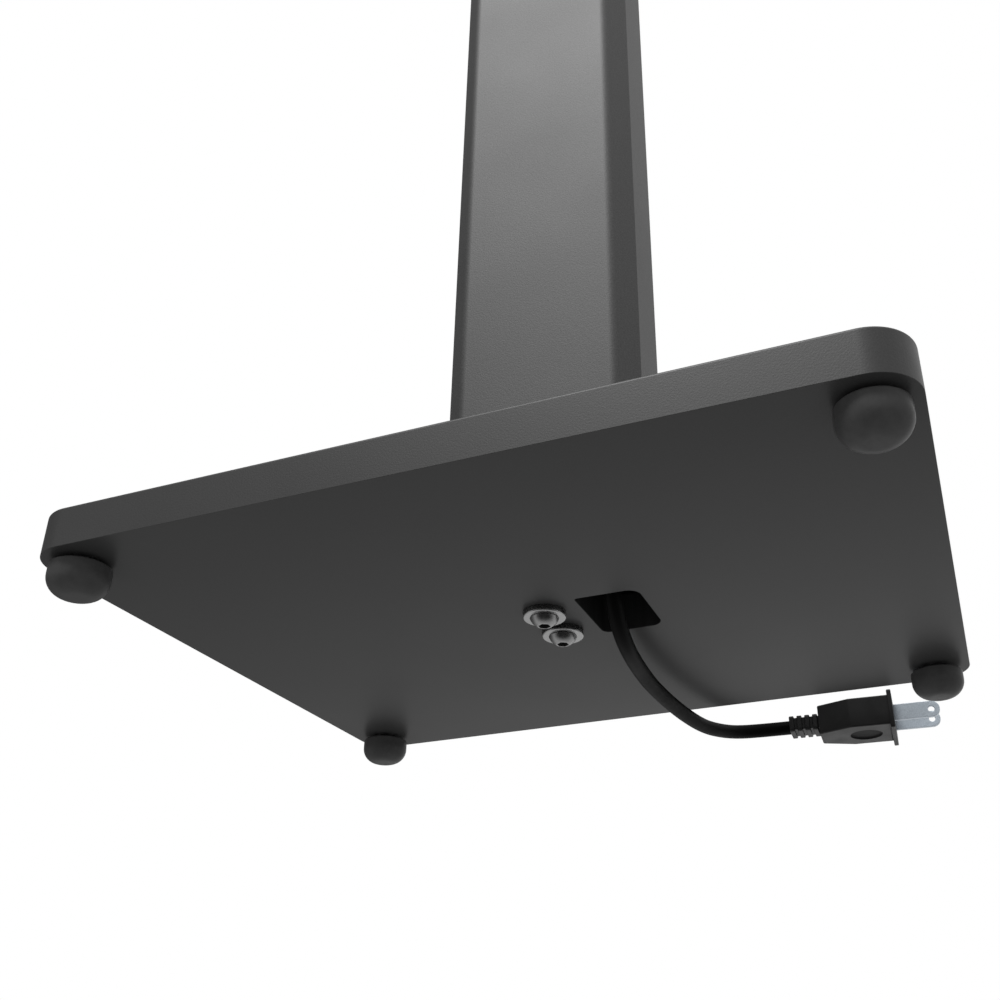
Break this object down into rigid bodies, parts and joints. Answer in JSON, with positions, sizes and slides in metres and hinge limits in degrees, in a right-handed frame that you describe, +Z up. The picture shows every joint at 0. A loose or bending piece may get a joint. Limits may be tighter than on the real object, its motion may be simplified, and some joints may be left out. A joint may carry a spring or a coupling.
{
  "type": "speaker stand",
  "caption": "Floor stand for a small speaker: heavy flat base on levelling rubber feet, flat chamfered column with the power lead run inside it, and a top plate with a rubber mat.",
  "frame": {"origin": "on the floor, under the middle of the base plate", "axes": "+Z up along the column, +X to the right as seen from the front, +Y to the back, where the cord runs"},
  "size_m": [0.25, 0.2479, 0.8194],
  "materials": {
    "base_plate": "fine textured charcoal powder coat",
    "column": "fine textured charcoal powder coat on an extrusion",
    "top_plate": "fine textured charcoal powder coat",
    "bright_screw": "satin zinc",
    "washer": "satin zinc",
    "black_screw": "black oxide",
    "foot_stud": "zinc plated",
    "foot_rubber": "matte black moulded rubber",
    "mat_rubber": "matte black sheet rubber",
    "grommet_rubber": "black moulded rubber",
    "cord_sheath": "black soft vinyl",
    "plug_vinyl": "black moulded vinyl",
    "blade_metal": "nickel plated, satin",
    "contact_brass": "bright"
  },
  "bodies": {
    "stand": {"base_plate": "base_plate", "column": "column", "base_screws": "bright_screw", "base_washers": "washer", "top_plate": "top_plate", "top_screws": "black_screw", "top_mat": "mat_rubber", "cable_grommet": "grommet_rubber", "cord_in_column": "cord_sheath", "cord_free": "cord_sheath", "plug_relief": "plug_vinyl", "plug_body": "plug_vinyl", "plug_blades": "blade_metal", "connector_relief": "plug_vinyl", "connector_body": "plug_vinyl", "connector_contacts": "contact_brass"},
    "front_left_stud": {"foot_stud_front_left": "foot_stud"},
    "front_left_pad": {"foot_pad_front_left": "foot_rubber"},
    "front_right_stud": {"foot_stud_front_right": "foot_stud"},
    "front_right_pad": {"foot_pad_front_right": "foot_rubber"},
    "rear_left_stud": {"foot_stud_rear_left": "foot_stud"},
    "rear_left_pad": {"foot_pad_rear_left": "foot_rubber"},
    "rear_right_stud": {"foot_stud_rear_right": "foot_stud"},
    "rear_right_pad": {"foot_pad_rear_right": "foot_rubber"}
  },
  "joints": [
    {"name": "front_left_foot_travel", "type": "slide", "parent": "stand", "child": "front_left_stud", "axis": [0, 0, -1], "range_m": [0, 0.00625]},
    {"name": "front_left_foot_turn", "type": "hinge", "parent": "front_left_stud", "child": "front_left_pad", "pos_m": [-0.1132, -0.0907, 0.005], "axis": [0, 0, -1], "range_deg": [0, 1980]},
    {"name": "front_right_foot_travel", "type": "slide", "parent": "stand", "child": "front_right_stud", "axis": [0, 0, -1], "range_m": [0, 0.00625]},
    {"name": "front_right_foot_turn", "type": "hinge", "parent": "front_right_stud", "child": "front_right_pad", "pos_m": [0.1132, -0.0907, 0.005], "axis": [0, 0, -1], "range_deg": [0, 1980]},
    {"name": "rear_left_foot_travel", "type": "slide", "parent": "stand", "child": "rear_left_stud", "axis": [0, 0, -1], "range_m": [0, 0.00625]},
    {"name": "rear_left_foot_turn", "type": "hinge", "parent": "rear_left_stud", "child": "rear_left_pad", "pos_m": [-0.1132, 0.0907, 0.005], "axis": [0, 0, -1], "range_deg": [0, 1980]},
    {"name": "rear_right_foot_travel", "type": "slide", "parent": "stand", "child": "rear_right_stud", "axis": [0, 0, -1], "range_m": [0, 0.00625]},
    {"name": "rear_right_foot_turn", "type": "hinge", "parent": "rear_right_stud", "child": "rear_right_pad", "pos_m": [0.1132, 0.0907, 0.005], "axis": [0, 0, -1], "range_deg": [0, 1980]}
  ],
  "couplings": [
    {"joint": "front_left_foot_turn", "follows": "front_left_foot_travel", "rad_per_m": 5026.5},
    {"joint": "front_right_foot_turn", "follows": "front_right_foot_travel", "rad_per_m": 5026.5},
    {"joint": "rear_left_foot_turn", "follows": "rear_left_foot_travel", "rad_per_m": 5026.5},
    {"joint": "rear_right_foot_turn", "follows": "rear_right_foot_travel", "rad_per_m": 5026.5}
  ]
}
